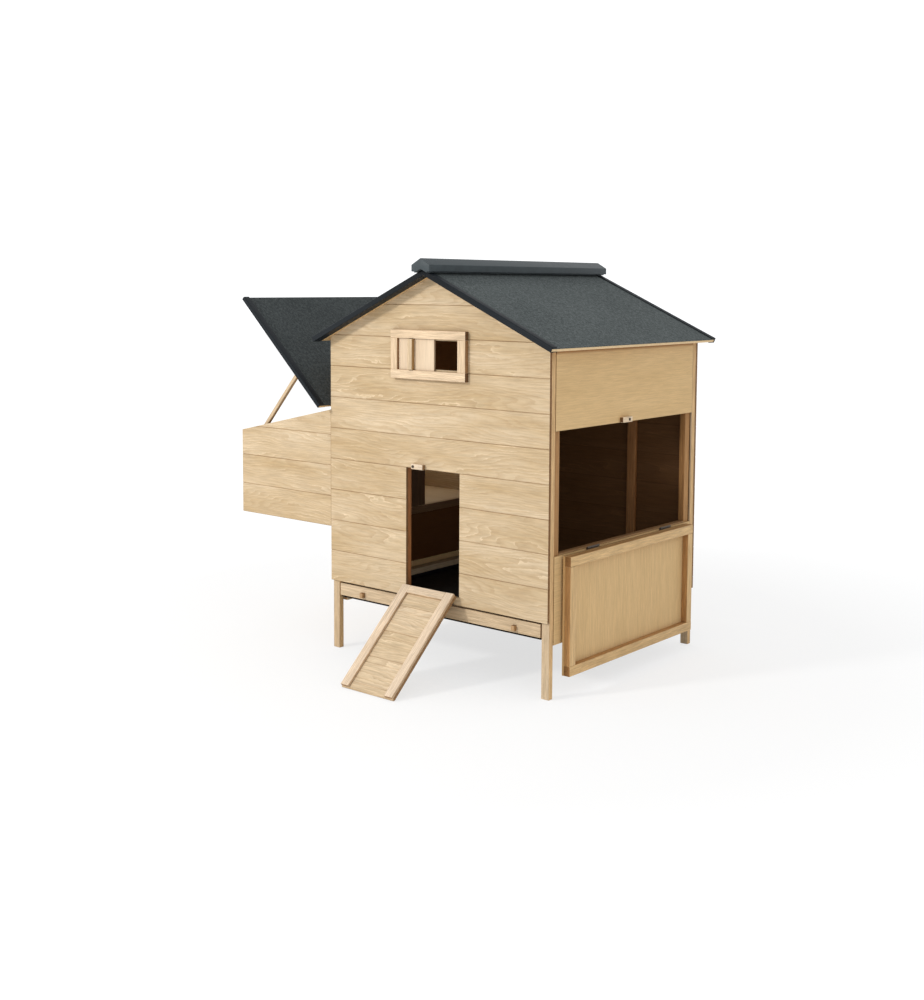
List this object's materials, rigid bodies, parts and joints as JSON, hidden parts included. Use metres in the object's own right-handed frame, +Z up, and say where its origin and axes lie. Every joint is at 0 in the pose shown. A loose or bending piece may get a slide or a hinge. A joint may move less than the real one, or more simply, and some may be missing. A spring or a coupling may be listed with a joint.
{
  "type": "chicken coop",
  "caption": "Wooden chicken coop with a felted pitched roof, side nest box with a propped lid, ramp door, hinged side door, sliding shutter and droppings tray.",
  "frame": {"origin": "on the ground, at the middle of the whole object's footprint box in its rest pose", "axes": "+X to the right along the front wall, away from the nest box; +Y from the front wall to the back wall; +Z up"},
  "size_m": [1.2818, 1.1076, 1.2],
  "materials": {
    "board": "planed, unfinished",
    "batten": "planed, unfinished",
    "plywood": "sanded, unfinished",
    "felt": "matte, mineral-faced",
    "trim": "satin",
    "ridge": "covered in dark felt",
    "hinge": "zinc-plated",
    "tray": "satin"
  },
  "bodies": {
    "house": {"front_boards": "board", "back_boards": "board", "post_front_left": "batten", "post_front_right": "batten", "post_back_left": "batten", "post_back_right": "batten", "side_panel_upper": "plywood", "side_panel_lower": "plywood", "side_jambs": "batten", "side_sill": "batten", "left_panel_upper": "plywood", "left_panel_lower": "plywood", "left_jambs": "batten", "nest_ledge": "batten", "left_mid_post": "batten", "pop_jambs": "batten", "back_battens": "batten", "roof_deck_left": "plywood", "roof_deck_right": "plywood", "roof_felt_left": "felt", "roof_felt_right": "felt", "roof_trims": "trim", "ridge_cap": "ridge", "nest_front_boards": "board", "nest_back_boards": "board", "nest_outer_boards": "board", "nest_floor": "plywood", "nest_divider": "plywood", "nest_cleats": "batten", "ramp_hinge_bases": "hinge", "door_hinge_bases": "hinge", "lid_hinge_bases": "hinge", "window_rails": "batten", "window_stiles": "batten", "tray_runners": "batten", "perch_brackets": "batten", "pivot_screws": "hinge"},
    "ramp": {"ramp_boards": "board", "ramp_stiles": "batten", "ramp_rail": "batten", "ramp_hinge_leaves": "hinge"},
    "door": {"door_panel": "plywood", "door_rails": "batten", "door_stiles": "batten", "door_hinge_leaves": "hinge"},
    "lid": {"lid_deck": "plywood", "lid_felt": "felt", "lid_trims": "trim", "lid_hinge_leaves": "hinge", "prop_block": "batten", "prop_screw": "hinge"},
    "prop": {"prop_stick": "batten"},
    "shutter": {"window_shutter": "plywood", "shutter_handle": "batten"},
    "tray": {"tray_pan": "tray", "tray_front": "batten", "tray_knobs": "batten"},
    "pop_button": {"pop_button": "batten"},
    "side_button": {"side_button": "batten"},
    "perch": {"perch": "batten"}
  },
  "joints": [
    {"name": "ramp_hinge", "type": "hinge", "parent": "house", "child": "ramp", "pos_m": [0.1881, -0.28066, 0.237], "axis": [-1, 0, 0], "range_deg": [0, 132.7]},
    {"name": "side_door_hinge", "type": "hinge", "parent": "house", "child": "door", "pos_m": [0.6056, 0.10884, 0.396], "axis": [0, -1, 0], "range_deg": [0, 180]},
    {"name": "nest_lid_hinge", "type": "hinge", "parent": "house", "child": "lid", "pos_m": [-0.22989, 0.11084, 0.752], "axis": [0, -1, 0], "range_deg": [-20, 56.2]},
    {"name": "prop_pivot", "type": "hinge", "parent": "lid", "child": "prop", "pos_m": [-0.37557, -0.25596, 0.86405], "axis": [0, 1, 0], "range_deg": [0, 60]},
    {"name": "shutter_slide", "type": "slide", "parent": "house", "child": "shutter", "axis": [1, 0, 0], "range_m": [0, 0.09]},
    {"name": "tray_slide", "type": "slide", "parent": "house", "child": "tray", "axis": [0, -1, 0], "range_m": [0, 0.045]},
    {"name": "pop_button_turn", "type": "hinge", "parent": "house", "child": "pop_button", "pos_m": [0.1241, -0.28416, 0.6], "axis": [0, 1, 0], "range_deg": [-90, 90]},
    {"name": "side_button_turn", "type": "hinge", "parent": "house", "child": "side_button", "pos_m": [0.60911, 0.09484, 0.743], "axis": [1, 0, 0], "range_deg": [-90, 90]},
    {"name": "perch_lift", "type": "slide", "parent": "house", "child": "perch", "axis": [0, 0, 1], "range_m": [0, 0.05]}
  ]
}
